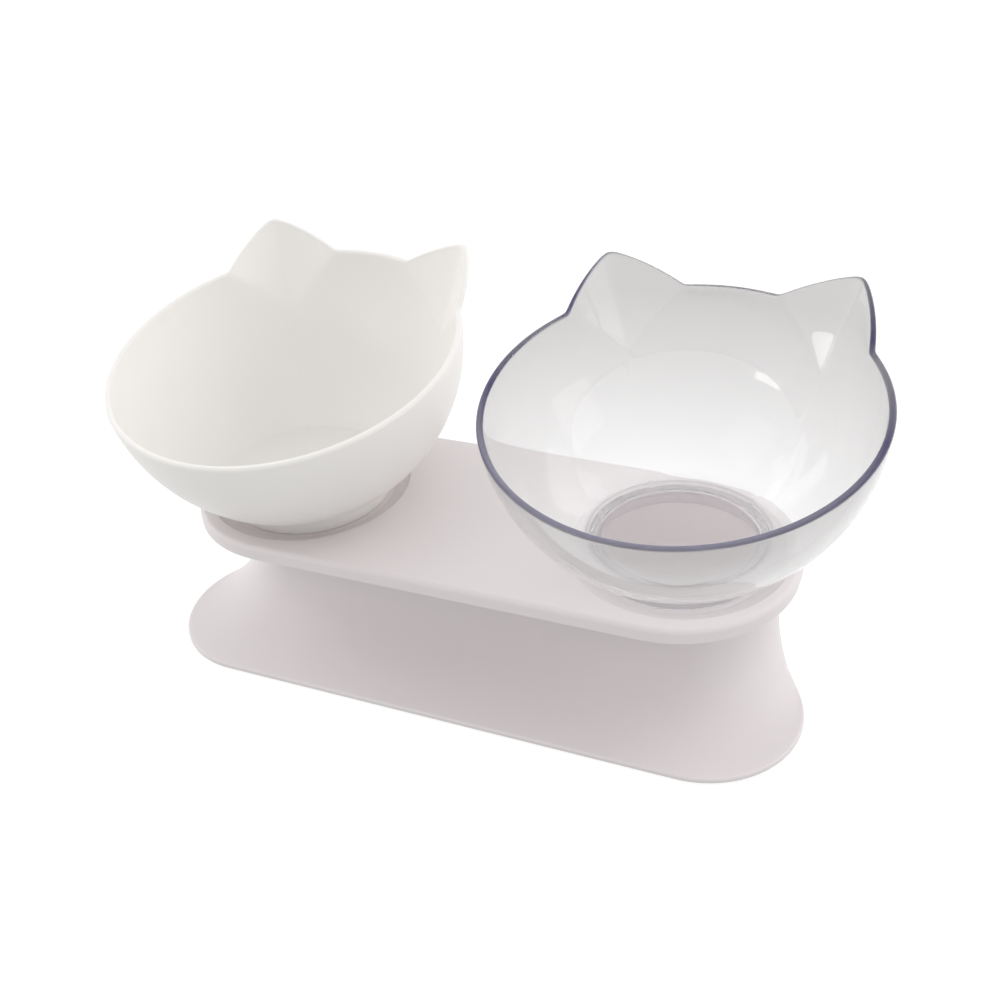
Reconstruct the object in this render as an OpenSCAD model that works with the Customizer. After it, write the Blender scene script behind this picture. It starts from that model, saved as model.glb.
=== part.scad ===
// Raised double pet bowl: two tilted round bowls with pointed ears, each dropped
// into a round seat of a plate that stands on a hollow flared pedestal.
// The floor is z = 0, +Z is up, -Y is the side that the pet eats from,
// and the origin lies under the middle of the whole object.

/* [Bowls] */
// Outer radius of the round bowl
bowl_r = 67.2; // [64:0.2:69]
// Wall thickness of the bowl
bowl_wall = 2.4; // [2:0.1:3.2]
// Tilt of the rim towards the front, in degrees
rim_tilt = 10; // [4:0.5:14]
// Drop of the rim's plane below the middle of the round form
rim_drop = 3.1; // [0:0.2:5]
// Height of the foot ring above the plate
ring_rise = 3.5; // [2.6:0.1:4.4]
// Forward shift of the round form from the foot ring
ball_forward = 2.5; // [0:0.1:4]
// Gap between the rims of the two bowls
bowl_gap = 15.6; // [4:0.2:30]
// Turn of the white bowl in its seat, in degrees
white_turn = -5.4; // [-30:0.2:30]
// Turn of the clear bowl in its seat, in degrees
clear_turn = -1.5; // [-30:0.2:30]

/* [Ears] */
// Where an ear starts, in degrees from the back
ear_start = 15.2; // [10:0.2:22]
// Where an ear has its tip, in degrees from the back
ear_tip = 35.5; // [31:0.5:42]
// Where an ear ends, in degrees from the back
ear_end = 54.3; // [50:0.5:64]
// Reach of the tip outside the rim
ear_out = 11.6; // [6:0.2:13]
// Height of the tip above the rim's plane
ear_up = 11; // [6:0.2:14]
// Depth of the ear's hollow down the wall
ear_depth = 20; // [14:0.5:26]

/* [Foot ring] */
// Outer radius of the bowl's foot ring
ring_r = 32; // [30:0.2:34]
// Wall thickness of the foot ring
ring_wall = 2.4; // [2:0.1:3.2]
// Height of the bowl's inner floor above the plate
floor_rise = 6.7; // [6:0.1:8]

/* [Top plate] */
// Thickness of the plate's rim
plate_t = 5.5; // [5:0.1:8]
// Height of the plate's top above the floor
plate_top = 55.5; // [48:0.5:70]
// Gap between foot ring and seat, all round
seat_gap = 1.2; // [0.6:0.1:2]
// Depth of the seat
seat_depth = 3.2; // [2:0.1:3.6]
// Width of the seat's sloping side
seat_slope = 5.8; // [3:0.1:6.4]
// Radius of the seat's upper edge
seat_edge = 0.8; // [0.4:0.1:1.2]
// Plate left outside the seat at each end
end_band = 4; // [3.4:0.1:8]
// Plate left outside the seats at front and back
side_band = 7; // [5:0.1:12]
// Plate left outside the seat along the rounded corner
corner_band = 4.5; // [3.4:0.1:5]
// Radius of the plate's upper edge
plate_edge = 2; // [1:0.1:2.4]
// Thickness of the plate's skin and lip
plate_skin = 2.2; // [1.6:0.1:2.2]

/* [Pedestal] */
// Wall thickness of the pedestal
skirt_wall = 2.2; // [1.6:0.1:3]
// Depth of the pedestal's upright part, front to back
column_depth = 52; // [44:1:60]
// Plate end to the pedestal's upright part
column_end_inset = 9; // [6:0.5:14]
// Plate back edge to the pedestal's upright part
column_back_inset = 8; // [6:0.5:10]
// Height of the flare from foot to upright part
flare_h = 26; // [20:1:30]
// Reach of the foot in front of the plate
foot_front = 11; // [6:0.5:20]
// Reach of the foot beyond the plate's ends, at the front
foot_side = 8; // [4:0.5:14]
// Radius of the foot's front corners
foot_front_r = 36; // [32:1:40]
// Plate back edge to the foot's back edge
foot_back_inset = 4; // [2:0.5:5]
// Plate end to the foot's end, at the back
foot_end_inset = 9.5; // [8.5:0.5:12]
// Radius of the foot's back corners
foot_back_r = 28; // [26:0.5:32]
// Thickness of the foot's edge
foot_edge = 1.8; // [1.4:0.1:3]
// Radius of the foot's upper edge
foot_round = 0.9; // [0.4:0.1:1.2]

/* [Rubber pads] */
// Radius of a pad
pad_r = 6; // [4:0.5:7]
// Thickness of a pad
pad_t = 2; // [1.6:0.1:3]
// Height of a pad below the pedestal
pad_proud = 1; // [0.6:0.1:1.2]
// Radius of a pad's lower edge
pad_edge = 0.4; // [0.2:0.1:0.5]
// Wall round a pad
boss_wall = 2; // [1.4:0.1:3]

/* [Hidden] */
$fn = 96;
stand_colour = [0.86, 0.84, 0.84];
white_colour = [0.93, 0.92, 0.91];
clear_colour = [0.86, 0.87, 0.90, 0.5];
rubber_colour = [0.80, 0.79, 0.78];

// Overrun of every cut
cut = 1;

// The round form rests on the foot ring, and the bowls stand side by side
ball_rise = ring_rise + sqrt(pow(bowl_r, 2) - pow(ring_r, 2));
bowl_spacing = 2 * bowl_r + bowl_gap;

// The middle of the bowl's length from front rim to round back is the part's y = 0
bowl_mid_y = -ball_forward + bowl_r * (1 - cos(rim_tilt)) / 2;
stand_y = -bowl_mid_y;

// Plate, worked out from the seats
seat_floor_r = ring_r + seat_gap;
seat_r = seat_floor_r + seat_slope;
plate_l = bowl_spacing + 2 * (seat_r + end_band);
plate_w = 2 * (seat_r + side_band);
plate_r = seat_r + corner_band;
plate_low = plate_top - plate_t;

// Upright part of the pedestal
column_r = column_depth / 2;
column_x = plate_l / 2 - column_end_inset - column_r;
column_y = plate_w / 2 - column_back_inset - column_r;

// Foot of the pedestal, as corner circles
foot_front_x = plate_l / 2 + foot_side - foot_front_r;
foot_front_y = foot_front_r - plate_w / 2 - foot_front;
foot_back_x = plate_l / 2 - foot_end_inset - foot_back_r;
foot_back_y = plate_w / 2 - foot_back_inset - foot_back_r;

// Direction in which the straight end touches both corner circles, in degrees from +X
corner_apart = [foot_front_x - foot_back_x, foot_front_y - foot_back_y];
corner_turn = acos((foot_back_r - foot_front_r) / norm(corner_apart))
    + atan2(corner_apart.y, corner_apart.x);

// Part of the foot's spread that is left at the top of the flare
spread_share = 0.03;
front_steps = 15;
back_steps = 8;
flare_steps = 12;
edge_steps = 3;

// Locating lip under the plate
lip_gap = 0.3;
lip_wall = 1.8;
lip_h = 4;
rib_margin = 0.8;

// Pads: how far each lies from its corner circle's middle, and which way
front_pad_out = foot_front_r - 2 * pad_r;
back_pad_out = foot_back_r - pad_r - boss_wall - skirt_wall;
front_pad_turn = -53;
back_pad_turn = 45;
boss_h = 12;

// Rim and ear shares
ear_round_share = 0.08;
ear_blend_share = 0.045;
ear_swell = 1.05;
ear_point_share = 0.04;
back_count = 6;
ear_count = 8;
front_count = 44;
wall_count = 9;
wall_spread = 1.5;
rim_count = 4;
ring_draft = 0.3;
floor_round = 2;

// Part of the wall's height over which the round form moves forward from the foot ring
shift_share = 0.1;

// Latitudes of the rim, of the foot ring and of the inner floor's edge on the round form
inner_r = bowl_r - bowl_wall;
rim_lat = -asin(rim_drop / bowl_r);
ring_lat = -acos(ring_r / bowl_r);
floor_lat = asin((floor_rise - ball_rise) / inner_r);
floor_r = inner_r * cos(floor_lat);
inner_lat = floor_lat + floor_round / inner_r * 180 / PI;

function mix(a, b, share) = a + (b - a) * share;
function eased(share) = share * share * (3 - 2 * share);

// Angles round the rim from the back, closer together at the ears
function span(from, to, count) = [for (i = [0 : count - 1]) mix(from, to, i / count)];
rim_angles = concat(
    span(-ear_start, ear_start, back_count),
    span(ear_start, ear_tip, ear_count),
    span(ear_tip, ear_end, ear_count),
    span(ear_end, 360 - ear_end, front_count),
    span(360 - ear_end, 360 - ear_tip, ear_count),
    span(360 - ear_tip, 360 - ear_start, ear_count));

// How much of the ear's reach a place on the wall has, from 0 to 1: a half cone that is
// widest at the rim and has its point down the wall, with its edges blended into the wall
function from_back(angle) = angle > 180 ? 360 - angle : abs(angle);
function ear_side(angle) = from_back(angle) < ear_tip
    ? (ear_tip - from_back(angle)) / (ear_tip - ear_start)
    : (from_back(angle) - ear_tip) / (ear_end - ear_tip);
function rounded(distance) = (sqrt(pow(distance, 2) + pow(ear_round_share, 2)) - ear_round_share)
    / (sqrt(1 + pow(ear_round_share, 2)) - ear_round_share);
function blended(value) = (value + sqrt(pow(value, 2) + pow(ear_blend_share, 2))) / 2;
function ear_share(angle, down) =
    let (width = max(ear_point_share, 1 - down / ear_depth))
    blended(width * (1 - pow(rounded(ear_side(angle) / width), ear_swell)));

// A point of the bowl's wall: radius, angle from the back, latitude and height above the skin
function wall_share(lat) = (lat - ring_lat) / (rim_lat - ring_lat);
function wall_point(radius, angle, lat, up) =
    let (share = min(1, wall_share(lat)))
    let (tilt = rim_tilt * eased(share))
    let (ear = ear_share(angle, bowl_r * (rim_lat - lat) * PI / 180))
    let (flat = radius * cos(lat) + ear * ear_out)
    let (rise = radius * sin(lat) + ear * ear_up + up)
    let (back = flat * cos(angle))
    [flat * sin(angle),
        back * cos(tilt) - rise * sin(tilt) - ball_forward * eased(min(1, share / shift_share)),
        back * sin(tilt) + rise * cos(tilt) + ball_rise];

function wall_row(radius, lat, up) = [for (angle = rim_angles) wall_point(radius, angle, lat, up)];
function level_row(radius, z) = [for (angle = rim_angles) [radius * sin(angle), radius * cos(angle), z]];
function row_lat(i, low) = mix(rim_lat, low, pow(i / wall_count, wall_spread));
function rim_row(i) = wall_row(
    bowl_r - bowl_wall / 2 * (1 + cos(180 * i / rim_count)), rim_lat,
    bowl_wall / 2 * sin(180 * i / rim_count));

ring_inner = ring_r - ring_wall;
bowl_rows = concat(
    [level_row(floor_r - floor_round, floor_rise)],
    [for (i = [wall_count : -1 : 0]) wall_row(inner_r, row_lat(i, inner_lat), 0)],
    [for (i = [1 : rim_count - 1]) rim_row(i)],
    [for (i = [0 : wall_count - 1]) wall_row(bowl_r, row_lat(i, ring_lat), 0)],
    [wall_row(bowl_r, mix(ring_lat, rim_lat, shift_share), 0)],
    [wall_row(bowl_r, ring_lat, 0)],
    [level_row(ring_r - ring_draft, -seat_depth)],
    [level_row(ring_inner, -seat_depth)],
    [level_row(ring_inner - ring_draft, floor_rise - bowl_wall)]);

// Faces between each row of points and the next, and between the last row and the first
function band_faces(rows, count) = [for (j = [0 : rows - 2]) for (i = [0 : count - 1])
    let (k = (i + 1) % count)
    each [[j * count + i, j * count + k, (j + 1) * count + k],
        [j * count + i, (j + 1) * count + k, (j + 1) * count + i]]];

module bowl_shell() {
    count = len(rim_angles);
    rows = len(bowl_rows);
    points = concat(
        [for (row = bowl_rows) each row],
        [[0, 0, floor_rise], [0, 0, floor_rise - bowl_wall]]);
    floor_middle = rows * count;
    polyhedron(points = points, faces = concat(
        band_faces(rows, count),
        [for (i = [0 : count - 1]) [floor_middle, (i + 1) % count, i]],
        [for (i = [0 : count - 1]) [floor_middle + 1, (rows - 1) * count + i,
            (rows - 1) * count + (i + 1) % count]]));
}

module seated_bowl(side, turn) {
    translate([side * bowl_spacing / 2, stand_y, plate_top])
        rotate([0, 0, turn])
            bowl_shell();
}

module white_bowl() {
    color(white_colour)
        seated_bowl(-1, white_turn);
}

module clear_bowl() {
    color(clear_colour)
        seated_bowl(1, clear_turn);
}

// Outline with round corners
module rounded_outline(length, width, radius) {
    square([length, width - 2 * radius], center = true);
    square([length - 2 * radius, width], center = true);
    for (x = [-1, 1], y = [-1, 1])
        translate([x * (length / 2 - radius), y * (width / 2 - radius)])
            circle(r = radius);
}

// Section of the plate's rim, from its middle out to its rounded upper edge
module rim_section(radius) {
    square([radius - plate_edge, plate_t]);
    square([radius, plate_t - plate_edge]);
    translate([radius - plate_edge, plate_t - plate_edge])
        circle(r = plate_edge);
}

// The plate as a slab whose upper edge is rounded all round
module plate_slab() {
    for (x = [-1, 1], y = [-1, 1])
        translate([x * (plate_l / 2 - plate_r), y * (plate_w / 2 - plate_r), plate_low])
            rotate_extrude()
                rim_section(plate_r);
    for (side = [-1, 1]) {
        translate([0, side * (plate_w / 2 - plate_r), plate_low])
            rotate([90, 0, 90 * side])
                linear_extrude(height = plate_l - 2 * plate_r, center = true)
                    rim_section(plate_r);
        translate([side * (plate_l / 2 - plate_r), 0, plate_low])
            rotate([90, 0, 90 - 90 * side])
                linear_extrude(height = plate_w - 2 * plate_r, center = true)
                    rim_section(plate_r);
    }
    translate([0, 0, plate_low + plate_t / 2])
        cube([plate_l - 2 * plate_r, plate_w - 2 * plate_r, plate_t], center = true);
}

// Outline of the pedestal's upright part, grown by a margin
module column_outline(margin) {
    translate([0, column_y])
        square([2 * column_x, 2 * (column_r + margin)], center = true);
    for (side = [-1, 1])
        translate([side * column_x, column_y])
            circle(r = column_r + margin);
}

// Hollow under the plate, with the seats and the ring that sits on the pedestal left standing
module plate_underside() {
    difference() {
        translate([0, 0, plate_low - cut])
            linear_extrude(height = plate_t - plate_skin + cut)
                rounded_outline(plate_l - 2 * plate_skin, plate_w - 2 * plate_skin,
                    plate_r - plate_skin);
        for (side = [-1, 1])
            translate([side * bowl_spacing / 2, 0, plate_low - 2 * cut])
                cylinder(r = seat_r + plate_skin, h = plate_t + 2 * cut);
        translate([0, 0, plate_low - 2 * cut])
            linear_extrude(height = plate_t + 2 * cut)
                difference() {
                    column_outline(rib_margin);
                    column_outline(-skirt_wall - lip_gap - lip_wall);
                }
    }
}

module locating_lip() {
    translate([0, 0, plate_low - lip_h])
        linear_extrude(height = lip_h + plate_t - plate_skin)
            difference() {
                column_outline(-skirt_wall - lip_gap);
                column_outline(-skirt_wall - lip_gap - lip_wall);
            }
}

// Section of a seat: level floor for the foot ring, sloping side and rounded upper edge
module seat_section() {
    polygon([[0, -seat_depth], [seat_floor_r, -seat_depth], [seat_r, -seat_edge],
        [seat_r, cut], [0, cut]]);
    difference() {
        translate([0, -seat_edge])
            square([seat_r + seat_edge, seat_edge + cut]);
        translate([seat_r + seat_edge, -seat_edge])
            circle(r = seat_edge);
    }
}

module seat_cuts() {
    for (side = [-1, 1])
        translate([side * bowl_spacing / 2, 0, plate_top])
            rotate_extrude()
                seat_section();
}

module top_plate() {
    color(stand_colour)
        translate([0, stand_y, 0])
            difference() {
                union() {
                    difference() {
                        plate_slab();
                        plate_underside();
                    }
                    locating_lip();
                }
                seat_cuts();
            }
}

// Corner circles at a share of the spread from upright part to foot: x, y and radius
function front_corner(share) = [mix(column_x, foot_front_x, share),
    mix(column_y, foot_front_y, share), mix(column_r, foot_front_r, share)];
function back_corner(share) = [mix(column_x, foot_back_x, share),
    mix(column_y, foot_back_y, share), mix(column_r, foot_back_r, share)];
function corner_arc(corner, side, inset, from, to, steps) = [for (i = [0 : steps])
    let (turn = mix(from, to, i / steps))
    [side * corner.x + (corner.z - inset) * cos(turn), corner.y + (corner.z - inset) * sin(turn)]];
function skirt_outline(share, inset) = concat(
    corner_arc(front_corner(share), 1, inset, -90, corner_turn, front_steps),
    corner_arc(back_corner(share), 1, inset, corner_turn, 90, back_steps),
    corner_arc(back_corner(share), -1, inset, 90, 180 - corner_turn, back_steps),
    corner_arc(front_corner(share), -1, inset, 180 - corner_turn, 270, front_steps));
function at_height(outline, z) = [for (point = outline) [point.x, point.y, z]];

// The flare is a parabola that leaves the foot level and meets the upright part upright
function spread_at(i) = pow(1 - i / flare_steps, 2);
function flare_row(i, wall, edge, low) = at_height(
    skirt_outline(mix(spread_share, 1, spread_at(i)), wall + edge * spread_at(i)),
    low + flare_h * pow(i / flare_steps, 2));
function edge_row(turn) = at_height(skirt_outline(1, foot_round * (1 - cos(turn))),
    pad_proud + foot_edge - foot_round * (1 - sin(turn)));
outer_rows = concat(
    [at_height(skirt_outline(1, 0), pad_proud)],
    [for (i = [0 : edge_steps - 1]) edge_row(90 * i / edge_steps)],
    [for (i = [0 : flare_steps]) flare_row(i, 0, foot_round, pad_proud + foot_edge)],
    [at_height(skirt_outline(spread_share, 0), plate_low)]);
inner_rows = concat(
    [at_height(skirt_outline(1, skirt_wall), pad_proud - cut)],
    [for (i = [0 : flare_steps]) flare_row(i, skirt_wall, 0, pad_proud)],
    [at_height(skirt_outline(spread_share, skirt_wall), plate_low + cut)]);

// Solid form through rows of points, from the lowest row up
module row_form(rows) {
    count = len(rows[0]);
    last = (len(rows) - 1) * count;
    polyhedron(points = [for (row = rows) each row], faces = concat(
        [for (face = band_faces(len(rows), count)) [face[2], face[1], face[0]]],
        [[for (i = [0 : count - 1]) i]],
        [[for (i = [count - 1 : -1 : 0]) last + i]]));
}

function pad_place(x_side, y_side) = y_side < 0
    ? [x_side * (foot_front_x + front_pad_out * cos(front_pad_turn)),
        foot_front_y + front_pad_out * sin(front_pad_turn)]
    : [x_side * (foot_back_x + back_pad_out * cos(back_pad_turn)),
        foot_back_y + back_pad_out * sin(back_pad_turn)];

module at_pads() {
    for (x = [-1, 1], y = [-1, 1])
        translate(pad_place(x, y))
            children();
}

module pedestal() {
    color(stand_colour)
        translate([0, stand_y, 0])
            difference() {
                row_form(outer_rows);
                difference() {
                    row_form(inner_rows);
                    at_pads()
                        translate([0, 0, pad_proud - 2 * cut])
                            cylinder(r = pad_r + boss_wall, h = boss_h + 2 * cut);
                }
                at_pads()
                    translate([0, 0, pad_proud - cut])
                        cylinder(r = pad_r, h = pad_t - pad_proud + cut);
            }
}

module pad(x_side, y_side) {
    color(rubber_colour)
        translate([0, stand_y, 0])
            translate(pad_place(x_side, y_side))
                rotate_extrude() {
                    translate([0, pad_edge])
                        square([pad_r, pad_t - pad_edge]);
                    square([pad_r - pad_edge, pad_t]);
                    translate([pad_r - pad_edge, pad_edge])
                        circle(r = pad_edge);
                }
}

pedestal();
top_plate();
white_bowl();
clear_bowl();
pad(-1, -1);  // pad_front_left
pad(1, -1);  // pad_front_right
pad(-1, 1);  // pad_back_left
pad(1, 1);  // pad_back_right
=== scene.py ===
import math
import bpy
import numpy as np
from mathutils import Matrix, Vector


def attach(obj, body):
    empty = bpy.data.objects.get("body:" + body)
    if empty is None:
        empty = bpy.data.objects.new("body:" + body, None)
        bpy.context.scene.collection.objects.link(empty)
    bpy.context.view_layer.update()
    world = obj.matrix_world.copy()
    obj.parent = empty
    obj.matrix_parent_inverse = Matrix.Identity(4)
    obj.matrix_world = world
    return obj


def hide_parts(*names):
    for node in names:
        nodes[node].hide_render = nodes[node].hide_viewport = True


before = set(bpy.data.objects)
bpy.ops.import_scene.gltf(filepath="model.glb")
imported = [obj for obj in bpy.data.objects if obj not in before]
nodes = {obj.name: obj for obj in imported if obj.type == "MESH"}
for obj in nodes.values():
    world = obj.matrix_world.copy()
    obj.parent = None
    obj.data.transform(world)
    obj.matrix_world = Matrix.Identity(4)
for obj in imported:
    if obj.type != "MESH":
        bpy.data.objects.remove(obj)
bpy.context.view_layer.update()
mm = 0.001  # the values of the bowls and the pedestal are in mm, Blender's are in metres
print("frame loaded:", len(nodes), "nodes")


# Small helpers

def deselectAll():
    bpy.ops.object.select_all(action="DESELECT")


def activate(piece, *others):
    deselectAll()
    for one in (piece, *others):
        one.select_set(True)
    bpy.context.view_layer.objects.active = piece


def editAll():
    bpy.ops.object.mode_set(mode="EDIT")
    bpy.ops.mesh.select_all(action="SELECT")


def leaveEdit():
    bpy.ops.object.mode_set(mode="OBJECT")


def mergeAll(threshold):  # in edit mode
    bpy.ops.mesh.select_all(action="SELECT")
    bpy.ops.mesh.remove_doubles(threshold=threshold)
    bpy.ops.mesh.normals_make_consistent(inside=False)


def smoothPiece(piece, degrees):
    activate(piece)
    bpy.ops.object.shade_smooth_by_angle(angle=math.radians(degrees))


def readPoints(piece):
    points = np.zeros(len(piece.data.vertices) * 3)
    piece.data.vertices.foreach_get("co", points)
    return points.reshape(-1, 3)


def writePoints(piece, points):
    piece.data.vertices.foreach_set("co", np.asarray(points, float).ravel())
    piece.data.update()


def giveMaterial(piece, *materials):
    piece.data.materials.clear()
    for material in materials:
        piece.data.materials.append(material)


# Camera, at the photograph's viewing angle

cameraValues = {
    "place": (0.16015, -0.32737, 0.30867),
    "right": (0.922312, 0.379905, -0.070802),
    "up": (-0.159878, 0.541911, 0.825089),
    "back": (0.351824, -0.749670, 0.560549),
    "sensor": 36, "lens": 42.52, "shift": (0.0031, -0.0006), "nearest": 0.01,
}


def addCamera(v):
    camera = bpy.data.objects.new("camera", bpy.data.cameras.new("camera"))
    bpy.context.scene.collection.objects.link(camera)
    turn = Matrix((v["right"], v["up"], v["back"])).transposed().to_4x4()
    camera.matrix_world = Matrix.Translation(v["place"]) @ turn
    camera.data.sensor_width = v["sensor"]
    camera.data.lens = v["lens"]
    camera.data.shift_x, camera.data.shift_y = v["shift"]
    camera.data.clip_start = v["nearest"]
    bpy.context.scene.camera = camera


addCamera(cameraValues)
print("camera placed")


# Shared parts of the materials

def addMath(tree, kind, first, second):
    node = tree.nodes.new("ShaderNodeMath")
    node.operation = kind
    for socket, value in zip(node.inputs, (first, second)):
        if isinstance(value, (int, float)):
            socket.default_value = value
        else:
            tree.links.new(value, socket)
    return node.outputs[0]


def addNoise(tree, vector, scale, detail, roughness=0.5):
    noise = tree.nodes.new("ShaderNodeTexNoise")
    noise.inputs["Detail"].default_value = detail
    noise.inputs["Roughness"].default_value = roughness
    tree.links.new(vector, noise.inputs["Vector"])
    if isinstance(scale, (int, float)):
        noise.inputs["Scale"].default_value = scale
    else:
        tree.links.new(scale, noise.inputs["Scale"])
    return noise.outputs["Fac"]


def addBump(tree, height, strength, distance, shader):
    bump = tree.nodes.new("ShaderNodeBump")
    bump.inputs["Strength"].default_value = strength
    bump.inputs["Distance"].default_value = distance
    tree.links.new(height, bump.inputs["Height"])
    tree.links.new(bump.outputs["Normal"], shader.inputs["Normal"])


def mixShaders(tree, share, first, second):
    choose = tree.nodes.new("ShaderNodeMixShader")
    tree.links.new(share, choose.inputs["Fac"])
    tree.links.new(first.outputs[0], choose.inputs[1])
    tree.links.new(second.outputs[0], choose.inputs[2])
    return choose


def makeGroup(name, inputs, outputs):
    group = bpy.data.node_groups.new(name, "ShaderNodeTree")
    for way, sockets in (("INPUT", inputs), ("OUTPUT", outputs)):
        for label, kind in sockets:
            group.interface.new_socket(name=label, in_out=way, socket_type="NodeSocket" + kind)
    return group, group.nodes.new("NodeGroupInput"), group.nodes.new("NodeGroupOutput")


# Moulded plastic: faint orange peel, slow drift of tone and uneven polish

mouldedValues = {
    "toneDetail": 3, "peelDetail": 2, "rubScale": 60.0, "rubDetail": 4, "rubRoughness": 0.6,
}
mouldedInputs = {
    "Peel Scale": "peelScale", "Tone Scale": "toneScale", "Tone": "tone", "Polish": "polish",
    "Unevenness": "unevenness",
}


def makeMouldedGroup(v):
    group, source, sink = makeGroup(
        "moulded plastic",
        [("Vector", "Vector")] + [(label, "Float") for label in mouldedInputs],
        [("Shade", "Float"), ("Roughness", "Float"), ("Height", "Float")])
    vector = source.outputs["Vector"]

    def aroundMiddle(noise, reach, middle):
        drift = addMath(group, "MULTIPLY", addMath(group, "SUBTRACT", noise, 0.5), reach)
        return addMath(group, "ADD", drift, middle)

    slow = addNoise(group, vector, source.outputs["Tone Scale"], v["toneDetail"])
    peel = addNoise(group, vector, source.outputs["Peel Scale"], v["peelDetail"])
    rub = addNoise(group, vector, v["rubScale"], v["rubDetail"], v["rubRoughness"])
    shade = aroundMiddle(slow, source.outputs["Tone"], 1.0)
    roughness = aroundMiddle(rub, source.outputs["Unevenness"], source.outputs["Polish"])
    group.links.new(shade, sink.inputs["Shade"])
    group.links.new(roughness, sink.inputs["Roughness"])
    group.links.new(peel, sink.inputs["Height"])
    return group


mouldedGroup = makeMouldedGroup(mouldedValues)

standPlasticValues = {
    "colour": (0.726, 0.680, 0.684), "ior": 1.46,
    "peelScale": 1100.0, "peel": 0.12, "peelDepth": 0.0001,
    "toneScale": 14.0, "tone": 0.03, "polish": 0.42, "unevenness": 0.1,
}
whitePlasticValues = {
    "colour": (0.834, 0.816, 0.791), "ior": 1.46,
    "peelScale": 700.0, "peel": 0.05, "peelDepth": 0.0001,
    "toneScale": 14.0, "tone": 0.02, "polish": 0.36, "unevenness": 0.06,
}
padRubberValues = {
    "colour": (0.52, 0.51, 0.50), "ior": 1.5,
    "peelScale": 2600.0, "peel": 0.4, "peelDepth": 0.0001,
    "toneScale": 14.0, "tone": 0.06, "polish": 0.72, "unevenness": 0.12,
}


def startMaterial(name):
    material = bpy.data.materials.new(name)
    material.use_nodes = True
    tree = material.node_tree
    tree.nodes.clear()
    output = tree.nodes.new("ShaderNodeOutputMaterial")
    shader = tree.nodes.new("ShaderNodeBsdfPrincipled")
    tree.links.new(shader.outputs[0], output.inputs["Surface"])
    place = tree.nodes.new("ShaderNodeTexCoord")
    return material, tree, output, shader, place.outputs["Object"]


def makePlastic(name, v):
    material, tree, _, shader, place = startMaterial(name)
    effect = tree.nodes.new("ShaderNodeGroup")
    effect.node_tree = mouldedGroup
    tree.links.new(place, effect.inputs["Vector"])
    for label, key in mouldedInputs.items():
        effect.inputs[label].default_value = v[key]
    shade = tree.nodes.new("ShaderNodeMix")
    shade.data_type = "RGBA"
    shade.blend_type = "MULTIPLY"
    shade.inputs["Factor"].default_value = 1.0
    shade.inputs["A"].default_value = (*v["colour"], 1)
    tree.links.new(effect.outputs["Shade"], shade.inputs["B"])
    tree.links.new(shade.outputs["Result"], shader.inputs["Base Color"])
    tree.links.new(effect.outputs["Roughness"], shader.inputs["Roughness"])
    addBump(tree, effect.outputs["Height"], v["peel"], v["peelDepth"], shader)
    shader.inputs["IOR"].default_value = v["ior"]
    return material


# Clear plastic: painted shade greyer towards the rim, a painted shadow in the floor and painted
# dark violet shade at its edge, by the values on the mesh. More light passes through its base than
# through its walls.

clearPlasticValues = {
    "lowColour": (0.94, 0.931, 0.935), "wallShadeColour": (0.65, 0.642, 0.636),
    "floorShadowColour": (0.80, 0.76, 0.765), "edgeShadeColour": (0.02, 0.014, 0.095),
    "crownShadeColour": (0.24, 0.23, 0.37), "ior": 1.49, "roughness": 0.012,
    "rippleScale": 38.0, "rippleDetail": 1, "ripple": 0.06, "rippleDepth": 0.001,
}
clearWallValues = {"transmission": 0.75, "passColour": (0.97, 0.97, 0.972)}
clearBaseValues = {"transmission": 0.88, "passColour": (0.89, 0.89, 0.892)}


def makeClear(name, v):
    material, tree, output, shader, place = startMaterial(name)
    tint = None
    # painted shade and shadow from the values on the mesh, mixed over the plastic's own colour
    for label, key in (("paintedWallShade", "wallShadeColour"), ("paintedFloorShadow", "floorShadowColour"),
                       ("paintedEdgeShade", "edgeShadeColour"), ("paintedCrownShade", "crownShadeColour")):
        painted = tree.nodes.new("ShaderNodeAttribute")
        painted.attribute_name = label
        mixed = tree.nodes.new("ShaderNodeMix")
        mixed.data_type = "RGBA"
        mixed.inputs["A"].default_value = (*v["lowColour"], 1)
        if tint:
            tree.links.new(tint, mixed.inputs["A"])
        mixed.inputs["B"].default_value = (*v[key], 1)
        tree.links.new(painted.outputs["Fac"], mixed.inputs["Factor"])
        tint = mixed.outputs["Result"]
    tree.links.new(tint, shader.inputs["Base Color"])
    shader.inputs["Transmission Weight"].default_value = v["transmission"]
    shader.inputs["Roughness"].default_value = v["roughness"]
    shader.inputs["IOR"].default_value = v["ior"]
    ripple = addNoise(tree, place, v["rippleScale"], v["rippleDetail"])
    addBump(tree, ripple, v["ripple"], v["rippleDepth"], shader)
    passing = tree.nodes.new("ShaderNodeBsdfTransparent")
    passing.inputs["Color"].default_value = (*v["passColour"], 1)
    path = tree.nodes.new("ShaderNodeLightPath")
    surface = shader
    for label in ("Is Shadow Ray", "Is Diffuse Ray"):  # what lies behind is lit through the plastic
        surface = mixShaders(tree, path.outputs[label], surface, passing)
    tree.links.new(surface.outputs[0], output.inputs["Surface"])
    return material


standPlastic = makePlastic("stand plastic", standPlasticValues)
whitePlastic = makePlastic("white bowl plastic", whitePlasticValues)
padRubber = makePlastic("pad rubber", padRubberValues)
clearWall = makeClear("clear wall plastic", {**clearPlasticValues, **clearWallValues})
clearBase = makeClear("clear base plastic", {**clearPlasticValues, **clearBaseValues})
print("materials made")


# Bowls: a spun section, then tilted and drawn out into ears

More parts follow.
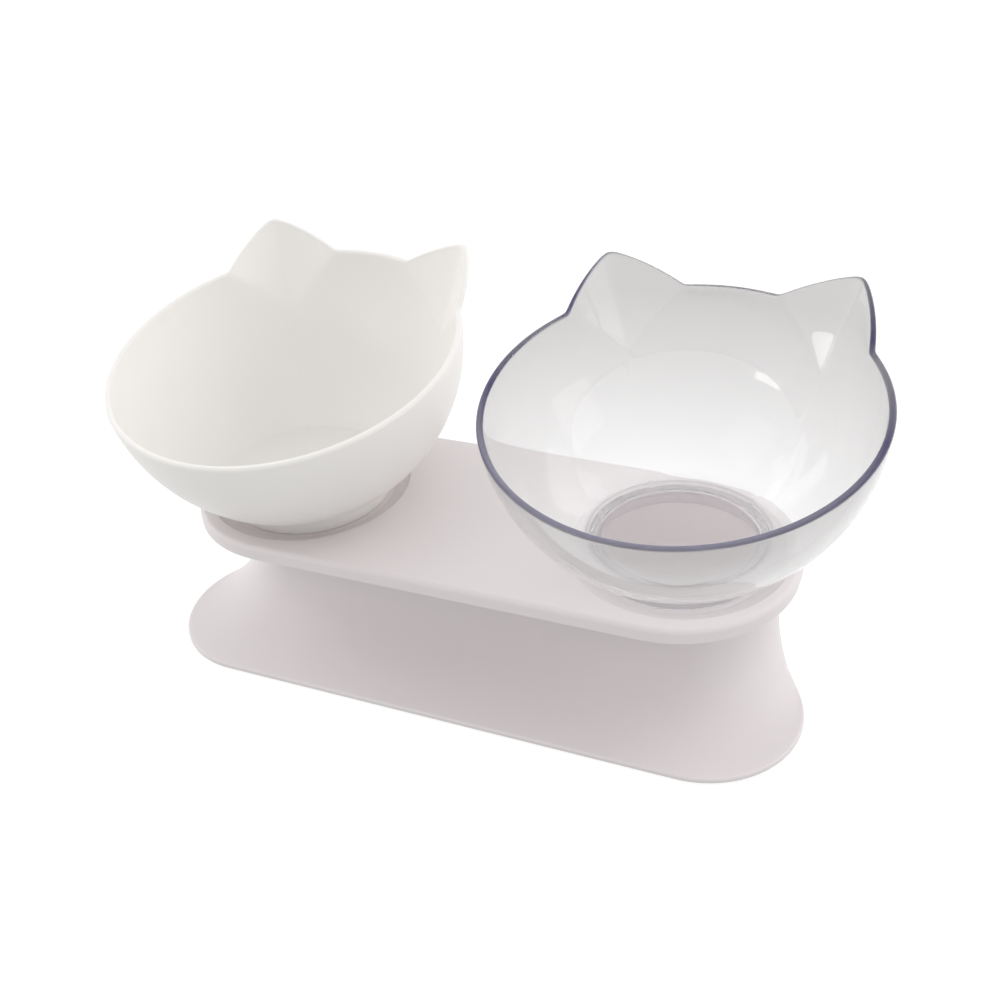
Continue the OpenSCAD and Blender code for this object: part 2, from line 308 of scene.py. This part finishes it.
bowlValues = {
    "radius": 67.2, "wall": 2.4, "rimDrop": 3.1, "tilt": 10.0, "forward": 2.5, "forwardShare": 0.1,
    "ringRise": 3.5, "ringRadius": 32.0, "ringWall": 2.4, "ringDraft": 0.3, "ringEdge": 0.5,
    "seatDepth": 3.2, "floorRise": 6.7, "floorRound": 2.0,
    "earStart": 15.2, "earTip": 35.5, "earEnd": 54.3,  # degrees from the back
    "earOut": 11.6, "earUp": 11.0, "earDepth": 20.0,
    "earRound": 0.08, "earBlend": 0.045, "earSwell": 1.05, "earPoint": 0.04,
    "spacing": 150.0, "standY": 1.98954, "plateTop": 55.5,
    # Points of the section and steps of the spin, whose even angles are drawn to the ears' ones
    "floorShares": (0.3, 0.6, 0.85, 0.97), "floorRows": 8,
    "wallRows": 52, "wallSpread": 1.25,  # the rows lie closer towards the rim
    "rimRows": 8, "ringRows": 4, "ringEase": 0.05, "ringStep": 1.0,
    "underRise": 0.8, "underInset": 0.75, "underShares": (0.9, 0.5),
    "turns": 360, "merge": 0.001, "smooth": 50,
    "evenAngles": (0, 11, 103, 180), "earAngles": (0, 11, 59, 180),
    # Painted shade on the mesh for the clear plastic. Round the rim, at these degrees from the
    # back:
    # how dark its edge's painted shade is, the height where that dark starts, and how light its
    # crown's painted shade is.
    "rimAngles": (0, 14, 30, 42, 52, 60, 95, 125, 155, 180),
    "edgeDepths": (0.62, 0.50, 0.55, 0.90, 1.0, 0.72, 1.0, 0.94, 0.82, 0.76),
    "edgeLows": (0.9, 0.95, 0.95, 0.7, 0.2, 0.35, -0.1, 0.0, 0.1, 0.1),
    "crownDepths": (0, 0, 0, 0, 0, 0, 0, 0.6, 0.85, 0.9),
    "edgeFade": 0.4, "crownLow": 0.85, "crownFade": 0.3,
    # painted shade along the foot ring
    "footDepth": 0.25, "footDrop": 0.2, "footFade": 0.8, "footInset": 0.6,  # foot ring
    # painted shade: two dark lines round the floor
    "lineDepth": 0.3, "lineHalf": 0.7, "innerLineInset": 0.8,  # two lines round the floor
    "outerLineOut": 0.4, "outerLineDrop": 0.5, "floorAbove": 1.0,
    # painted shade, greyer up the wall
    "wallLow": 4.0, "wallReach": 58.0, "wallPower": 0.8,  # greyer up the wall
    # painted shadow on the floor inside the ring
    "discInset": 1.0, "discFade": 1.5,  # the floor inside the ring
    "baseOut": 1.2,  # how far past the foot ring the base's material goes
}
bowlPlaces = {"white_bowl": (-1, -5.4), "clear_bowl": (1, -1.5)}  # side and turn in degrees
bowlMaterials = {"white_bowl": (whitePlastic,), "clear_bowl": (clearWall, clearBase)}


# Middle of the bowl's sphere above the plate's top
def ballHeight(v):
    return v["ringRise"] + math.sqrt(v["radius"] ** 2 - v["ringRadius"] ** 2)


# Latitudes on that sphere of the rim and of the foot ring
def bowlLatitudes(v):
    return -math.asin(v["rimDrop"] / v["radius"]), -math.acos(v["ringRadius"] / v["radius"])


# Section of the untilted bowl, from the middle of the floor over the rim to the underside
def bowlSection(v):
    ball = ballHeight(v)
    rimLat, ringLat = bowlLatitudes(v)
    inner = v["radius"] - v["wall"]
    floorLat = math.asin((v["floorRise"] - ball) / inner)
    innerLat = floorLat + v["floorRound"] / inner
    floorRadius = inner * math.cos(floorLat)

    def latitudes(low):
        count = v["wallRows"]
        return [rimLat + (low - rimLat) * (i / count) ** v["wallSpread"]
                for i in range(count + 1)]

    def onBall(radius, lat):
        return radius * math.cos(lat), ball + radius * math.sin(lat)

    start = floorRadius - v["floorRound"]
    wallStart = onBall(inner, innerLat)
    section = [(start * share, v["floorRise"]) for share in (0.0, *v["floorShares"])]
    for i in range(v["floorRows"]):  # the floor turns up into the wall
        s = i / v["floorRows"]
        a, b, c = (1 - s) ** 2, 2 * s * (1 - s), s ** 2
        section.append((a * start + b * floorRadius + c * wallStart[0],
                        (a + b) * v["floorRise"] + c * wallStart[1]))
    section += [onBall(inner, lat) for lat in reversed(latitudes(innerLat))]
    for i in range(1, v["rimRows"]):  # round rim
        turn = math.pi * i / v["rimRows"]
        radius, height = onBall(v["radius"] - v["wall"] / 2 * (1 + math.cos(turn)), rimLat)
        section.append((radius, height + v["wall"] / 2 * math.sin(turn)))
    section += [onBall(v["radius"], lat) for lat in latitudes(ringLat)]
    foot, low = v["ringRadius"] - v["ringDraft"], -v["seatDepth"]
    edge, ease = v["ringEdge"], v["ringEase"]
    section += [(v["ringRadius"] - ease, v["ringRise"] - v["ringStep"]),
                (foot + ease, low + edge)]
    for i in range(1, v["ringRows"] + 1):  # foot ring
        turn = math.pi / 2 * i / v["ringRows"]
        section.append((foot - edge * (1 - math.cos(turn)), low + edge * (1 - math.sin(turn))))
    ringInner = v["ringRadius"] - v["ringWall"]
    top, under = ringInner - v["ringDraft"], v["floorRise"] - v["wall"]
    section += [(ringInner + edge, low), (ringInner, low + edge),
                (top + ease, under - v["underRise"]), (top - v["underInset"], under)]
    section += [(ringInner * share, under) for share in (*v["underShares"], 0.0)]
    return section


# Share of the ear's reach at an angle from the back and a distance down the wall
def earShare(v, fromBack, down):
    side = np.where(fromBack < v["earTip"],
                    (v["earTip"] - fromBack) / (v["earTip"] - v["earStart"]),
                    (fromBack - v["earTip"]) / (v["earEnd"] - v["earTip"]))
    width = np.maximum(v["earPoint"], 1 - down / v["earDepth"])
    soft = v["earRound"]
    bend = (np.sqrt((side / width) ** 2 + soft ** 2) - soft) / (math.sqrt(1 + soft ** 2) - soft)
    cone = width * (1 - bend ** v["earSwell"])
    return (cone + np.sqrt(cone ** 2 + v["earBlend"] ** 2)) / 2


def easeIn(share):
    return share * share * (3 - 2 * share)


def tiltAndEars(v, points):
    rimLat, ringLat = bowlLatitudes(v)
    flat = np.hypot(points[:, 0], points[:, 1])
    rise = points[:, 2] - ballHeight(v)
    angle = np.arctan2(points[:, 0], points[:, 1])
    lat = np.clip(np.arctan2(rise, np.maximum(flat, 1e-9)), None, rimLat)
    share = np.clip((lat - ringLat) / (rimLat - ringLat), 0, 1)
    ear = earShare(v, np.degrees(np.abs(angle)), v["radius"] * (rimLat - lat))
    ear = np.where(share > 0, ear, 0)
    flat = flat + ear * v["earOut"]
    rise = rise + ear * v["earUp"]
    back = flat * np.cos(angle)
    tilt = np.radians(v["tilt"]) * easeIn(share)
    shift = v["forward"] * easeIn(np.clip(share / v["forwardShare"], 0, 1))
    return np.stack([flat * np.sin(angle),
                     back * np.cos(tilt) - rise * np.sin(tilt) - shift,
                     back * np.sin(tilt) + rise * np.cos(tilt) + ballHeight(v)], 1)


# Places a bowl's points in its seat, in metres
def seatPoints(v, points, side, turn):
    c, s = math.cos(math.radians(turn)), math.sin(math.radians(turn))
    placed = points @ np.array([[c, s, 0], [-s, c, 0], [0, 0, 1]])
    return (placed + [side * v["spacing"] / 2, v["standY"], v["plateTop"]]) * mm


def spinSection(name, v, section):
    deselectAll()
    bpy.ops.mesh.primitive_plane_add(size=1, location=(0, 0, 0))
    piece = bpy.context.object
    piece.name = name
    editAll()
    bpy.ops.mesh.merge(type="CENTER")
    bpy.ops.transform.translate(value=(section[0][0], 0, section[0][1]))
    for (r0, z0), (r1, z1) in zip(section, section[1:]):
        bpy.ops.mesh.extrude_vertices_move(
            TRANSFORM_OT_translate={"value": (r1 - r0, 0, z1 - z0)})
    bpy.ops.mesh.select_all(action="SELECT")
    bpy.ops.mesh.spin(steps=v["turns"], angle=2 * math.pi, center=(0, 0, 0), axis=(0, 0, 1))
    mergeAll(v["merge"])
    leaveEdit()
    return piece


# Draws the spin's steps together at the ears, and gives each point's angle from the back and
# its radius
def drawToEars(v, points):
    angle = np.degrees(np.arctan2(points[:, 0], points[:, 1]))
    angle = np.sign(angle) * np.interp(np.abs(angle), v["evenAngles"], v["earAngles"])
    flat = np.hypot(points[:, 0], points[:, 1])
    points[:, 0] = flat * np.sin(np.radians(angle))
    points[:, 1] = flat * np.cos(np.radians(angle))
    return np.abs(angle), flat


# Paints shade on the bowl's mesh, as values read by the clear plastic
def paintBowlShade(v, piece, plain, shaped, fromBack, flat):
    rise = plain[:, 2]
    ringInner = v["ringRadius"] - v["ringWall"]
    nearFloor = rise < v["floorRise"] + v["floorAbove"]
    # painted shade at the rim: a dark violet edge, and a violet crown at the front
    height = rise - ballHeight(v) + v["rimDrop"]
    low = np.interp(fromBack, v["rimAngles"], v["edgeLows"])
    edge = np.clip((height - low) / v["edgeFade"], 0, 1)
    edge = edge * np.interp(fromBack, v["rimAngles"], v["edgeDepths"])
    crown = np.clip((height - v["crownLow"]) / v["crownFade"], 0, 1)
    crown = crown * np.interp(fromBack, v["rimAngles"], v["crownDepths"])
    # painted shade along the outside of the foot ring
    foot = np.clip((v["ringRise"] - v["footDrop"] - rise) / v["footFade"], 0, 1)
    edge = np.maximum(edge, v["footDepth"] * foot * (flat > ringInner - v["footInset"]))
    # painted shade: two dark lines round the floor
    for radius, lineLow in ((ringInner - v["innerLineInset"], v["ringRise"]),
                            (v["ringRadius"] + v["outerLineOut"],
                             v["floorRise"] - v["outerLineDrop"])):  # lines round the floor
        line = np.clip(1 - np.abs(flat - radius) / v["lineHalf"], 0, 1)
        edge = np.maximum(edge, v["lineDepth"] * (rise > lineLow) * nearFloor * line)
    # painted shade, greyer up the wall towards the rim
    wall = (shaped[:, 2] - v["floorRise"] - v["wallLow"]) / v["wallReach"]
    wall = np.clip(wall, 0, 1) ** v["wallPower"]
    # painted shadow on the floor inside the ring
    disc = np.clip((ringInner - v["discInset"] - flat) / v["discFade"], 0, 1) * nearFloor
    for label, values in (("paintedEdgeShade", edge), ("paintedCrownShade", crown), ("paintedWallShade", wall),
                          ("paintedFloorShadow", disc)):
        piece.data.attributes.new(label, "FLOAT", "POINT").data.foreach_set("value", values)


def makeBowl(name, v, side, turn, materials):
    piece = spinSection(name, v, bowlSection(v))
    plain = readPoints(piece)
    fromBack, flat = drawToEars(v, plain)
    shaped = tiltAndEars(v, plain)
    paintBowlShade(v, piece, plain, shaped, fromBack, flat)
    writePoints(piece, seatPoints(v, shaped, side, turn))
    smoothPiece(piece, v["smooth"])
    giveMaterial(piece, *materials)
    if len(materials) == 2:  # the floor and the foot ring take the second
        baseRadius = v["ringRadius"] + v["baseOut"]
        for face in piece.data.polygons:
            face.material_index = int(max(flat[i] for i in face.vertices) < baseRadius)
    return piece


for nodeName, (side, turn) in bowlPlaces.items():
    bowl = makeBowl(nodeName + "_shell", bowlValues, side, turn, bowlMaterials[nodeName])
    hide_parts(nodeName)
    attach(bowl, nodeName)
print("bowls made")


# Pedestal: rings of edges drawn up from the foot and down again inside

pedestalValues = {
    "plateLength": 236.0, "plateWidth": 92.0, "plateLow": 50.0, "wall": 2.2, "standY": 1.98954,
    "columnDepth": 52.0, "columnEndInset": 9.0, "columnBackInset": 8.0,
    "flareHeight": 26.0, "footFront": 11.0, "footSide": 8.0, "footFrontRadius": 36.0,
    "footBackInset": 4.0, "footEndInset": 9.5, "footBackRadius": 28.0,
    "footEdge": 1.8, "footRound": 0.9, "spreadShare": 0.03,
    "flareRows": 40, "roundRows": 6, "arcSteps": 48, "endSteps": 8, "sideSteps": 60,
    "padProud": 1.0, "padRadius": 6.0, "frontPadAngle": -53, "backPadAngle": 45,
    "bossWall": 2.0, "bossHeight": 12.0, "frontBossHeight": 1.7, "bossTurns": 96,
    "merge": 1e-6, "smooth": 35,
}


# Corner circles of the upright part (share 0) and of the foot (share 1): x, y and radius
def cornerCircles(v, share):
    halfLength, halfWidth = v["plateLength"] / 2, v["plateWidth"] / 2
    radius = v["columnDepth"] / 2
    column = (halfLength - v["columnEndInset"] - radius,
              halfWidth - v["columnBackInset"] - radius, radius)
    front = (halfLength + v["footSide"] - v["footFrontRadius"],
             v["footFrontRadius"] - halfWidth - v["footFront"], v["footFrontRadius"])
    back = (halfLength - v["footEndInset"] - v["footBackRadius"],
            halfWidth - v["footBackInset"] - v["footBackRadius"], v["footBackRadius"])
    apart = (front[0] - back[0], front[1] - back[1])
    turn = math.acos((back[2] - front[2]) / math.hypot(*apart)) + math.atan2(apart[1], apart[0])
    blend = [[a + (b - a) * share for a, b in zip(column, corner)] for corner in (front, back)]
    return blend[0], blend[1], turn


# One ring of the pedestal, with the straight runs divided evenly
def pedestalRing(v, share, inset, z):
    front, back, turn = cornerCircles(v, share)
    half = math.pi / 2

    def cornerPoint(circle, side, a):
        return (side * circle[0] + (circle[2] - inset) * math.cos(a),
                circle[1] + (circle[2] - inset) * math.sin(a), z)

    corners = ((front, 1, -half, turn, v["arcSteps"], v["endSteps"]),
               (back, 1, turn, half, v["arcSteps"] // 2, v["sideSteps"]),
               (back, -1, half, math.pi - turn, v["arcSteps"] // 2, v["endSteps"]),
               (front, -1, math.pi - turn, 3 * half, v["arcSteps"], v["sideSteps"]))
    ring = []
    for (circle, side, start, end, steps, runSteps), following in zip(
            corners, corners[1:] + corners[:1]):
        ring += [cornerPoint(circle, side, start + (end - start) * i / steps)
                 for i in range(steps + 1)]
        x0, y0, _ = ring[-1]
        x1, y1, _ = cornerPoint(*following[:3])
        ring += [(x0 + (x1 - x0) * k / runSteps, y0 + (y1 - y0) * k / runSteps, z)
                 for k in range(1, runSteps)]
    return ring


def pedestalRings(v):
    low, edge, flare = v["padProud"], v["footRound"], v["flareHeight"]
    top = low + v["footEdge"]
    steps = [i / v["flareRows"] for i in range(v["flareRows"] + 1)]

    def spread(s):  # the plan's share of the foot at a step up the flare
        return v["spreadShare"] + (1 - v["spreadShare"]) * (1 - s) ** 2

    rings = [pedestalRing(v, 1, 0, low)]
    for i in range(v["roundRows"]):
        turn = math.pi / 2 * i / v["roundRows"]
        rings.append(pedestalRing(v, 1, edge * (1 - math.cos(turn)),
                                  top - edge * (1 - math.sin(turn))))
    rings += [pedestalRing(v, spread(s), edge * (1 - s) ** 2, top + flare * s * s) for s in steps]
    rings += [pedestalRing(v, v["spreadShare"], inset, v["plateLow"]) for inset in (0, v["wall"])]
    rings += [pedestalRing(v, spread(s), v["wall"], low + flare * s * s) for s in reversed(steps)]
    return rings


# Draws a ring of edges out from row to row, at any size, then sets every row in its place
def drawRings(name, rings, shift, merge):
    deselectAll()
    bpy.ops.mesh.primitive_circle_add(vertices=len(rings[0]), radius=0.1, fill_type="NOTHING")
    piece = bpy.context.object
    piece.name = name
    editAll()
    for _ in rings:
        bpy.ops.mesh.extrude_edges_move(TRANSFORM_OT_translate={"value": (0, 0, 0.01)})
    leaveEdit()
    writePoints(piece, (np.array(rings + rings[:1]).reshape(-1, 3) + [0, shift, 0]) * mm)
    editAll()
    mergeAll(merge)
    leaveEdit()
    return piece


# Round boss with the pad's recess in its lower end
def addBoss(v, x, y):
    deselectAll()
    low = v["padProud"] * mm
    height = v["frontBossHeight" if y < 0 else "bossHeight"] * mm  # the foot is thin in front
    bpy.ops.mesh.primitive_cylinder_add(
        vertices=v["bossTurns"], radius=(v["padRadius"] + v["bossWall"]) * mm, depth=height,
        location=(x * mm, y * mm, low + height / 2))
    boss = bpy.context.object
    bpy.ops.object.transform_apply(location=True, rotation=True, scale=True)
    bpy.ops.object.mode_set(mode="EDIT")
    bpy.ops.mesh.select_all(action="DESELECT")
    leaveEdit()
    for face in boss.data.polygons:
        face.select = face.normal.z < -0.9  # the lower end
    bpy.ops.object.mode_set(mode="EDIT")
    bpy.ops.mesh.select_mode(type="FACE")
    bpy.ops.mesh.inset(thickness=v["bossWall"] * mm, depth=0)
    bpy.ops.mesh.extrude_region_move(TRANSFORM_OT_translate={"value": (0, 0, low)})
    leaveEdit()
    return boss


def padPlace(v, xSide, ySide):
    front, back, _ = cornerCircles(v, 1)
    corner, out, angle = front, front[2] - 2 * v["padRadius"], v["frontPadAngle"]
    if ySide > 0:
        corner, angle = back, v["backPadAngle"]
        out = back[2] - v["padRadius"] - v["bossWall"] - v["wall"]
    angle = math.radians(angle)
    return (xSide * (corner[0] + out * math.cos(angle)),
            corner[1] + out * math.sin(angle) + v["standY"])


def makePedestal(v):
    piece = drawRings("pedestal_shell", pedestalRings(v), v["standY"], v["merge"])
    bosses = [addBoss(v, *padPlace(v, x, y)) for x in (-1, 1) for y in (-1, 1)]
    activate(piece, *bosses)
    bpy.ops.object.join()
    smoothPiece(piece, v["smooth"])
    return piece


pedestal = makePedestal(pedestalValues)
giveMaterial(pedestal, standPlastic)
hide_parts("pedestal")
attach(pedestal, "stand")
print("pedestal made")

giveMaterial(nodes["top_plate"], standPlastic)
for nodeName in nodes:
    if nodeName.startswith("pad_"):
        giveMaterial(nodes[nodeName], padRubber)
print("plate and pads finished")


# Floor, world and lamps

floorValues = {"size": 8.0, "divisions": 4, "colour": (0.62, 0.62, 0.62), "lit": 0.21,
               "glow": 0.87}
worldValues = {"ambient": (0.82, 0.82, 0.82), "white": (1, 1, 1)}
whiteRays = ("Is Camera Ray", "Is Glossy Ray", "Is Transmission Ray")
lampPlace = {"distance": 1.2, "aim": (0, 0, 0.06)}
lampValues = {  # turn and rise in degrees, size in metres, power in watts
    "left": {"turn": 172, "rise": 28, "size": (0.75, 0.75), "power": 3.9,
             "colour": (1.0, 1.0, 1.0), "mirrored": False},
    "right": {"turn": 0, "rise": 20, "size": (0.6, 0.6), "power": 2.3,
              "colour": (1.0, 0.995, 0.99), "mirrored": False},
    "back": {"turn": 45, "rise": 33, "size": (0.7, 0.7), "power": 3.5,
             "colour": (1.0, 0.995, 0.99), "mirrored": False},
    "front": {"turn": 225, "rise": 45, "size": (0.6, 0.6), "power": 1.1,
              "colour": (1.0, 1.0, 1.0), "mirrored": False},
    "spark": {"turn": 231, "rise": 11, "size": (0.4, 0.1), "power": 0.45,
              "colour": (1.0, 1.0, 1.0), "mirrored": True},  # the small highlight on the ears
}


# One shader for the light on the object, the other for what the camera sees behind it
def whiteBehind(tree, output, plain, white):
    path = tree.nodes.new("ShaderNodeLightPath")
    mask = path.outputs[whiteRays[0]]
    for label in whiteRays[1:]:
        mask = addMath(tree, "MAXIMUM", mask, path.outputs[label])
    tree.links.new(mixShaders(tree, mask, plain, white).outputs[0], output.inputs["Surface"])


def addColoured(tree, kind, colour):
    node = tree.nodes.new(kind)
    node.inputs["Color"].default_value = (*colour, 1)
    return node


def makeFloor(v):
    deselectAll()
    bpy.ops.mesh.primitive_grid_add(x_subdivisions=v["divisions"], y_subdivisions=v["divisions"],
                                    size=v["size"], location=(0, 0, 0))
    floor = bpy.context.object
    floor.name = "floor"
    material = bpy.data.materials.new("pale floor")
    material.use_nodes = True
    tree = material.node_tree
    tree.nodes.clear()
    output = tree.nodes.new("ShaderNodeOutputMaterial")
    plain = addColoured(tree, "ShaderNodeBsdfDiffuse", v["colour"])
    lit = addColoured(tree, "ShaderNodeBsdfDiffuse", (v["lit"],) * 3)
    glow = tree.nodes.new("ShaderNodeEmission")
    glow.inputs["Strength"].default_value = v["glow"]
    both = tree.nodes.new("ShaderNodeAddShader")
    tree.links.new(lit.outputs[0], both.inputs[0])
    tree.links.new(glow.outputs[0], both.inputs[1])
    whiteBehind(tree, output, plain, both)
    giveMaterial(floor, material)


def makeWorld(v):
    world = bpy.data.worlds.new("studio")
    bpy.context.scene.world = world
    world.use_nodes = True
    tree = world.node_tree
    tree.nodes.clear()
    output = tree.nodes.new("ShaderNodeOutputWorld")
    ambient = addColoured(tree, "ShaderNodeBackground", v["ambient"])
    white = addColoured(tree, "ShaderNodeBackground", v["white"])
    whiteBehind(tree, output, ambient, white)


def addLamp(name, v):
    lamp = bpy.data.objects.new(name, bpy.data.lights.new(name, "AREA"))
    bpy.context.scene.collection.objects.link(lamp)
    turn, rise = math.radians(v["turn"]), math.radians(v["rise"])
    away = Vector((math.cos(turn) * math.cos(rise), math.sin(turn) * math.cos(rise),
                   math.sin(rise)))
    lamp.location = Vector(lampPlace["aim"]) + away * lampPlace["distance"]
    lamp.rotation_euler = (-away).to_track_quat("-Z", "Y").to_euler()
    lamp.data.shape = "RECTANGLE"
    lamp.data.size, lamp.data.size_y = v["size"]
    lamp.data.energy = v["power"]
    lamp.data.color = v["colour"]
    lamp.visible_glossy = v["mirrored"]


makeFloor(floorValues)
makeWorld(worldValues)
for lampName, values in lampValues.items():
    addLamp(lampName, values)
bpy.context.scene.view_settings.view_transform = "Standard"
print("floor, world and lamps made")
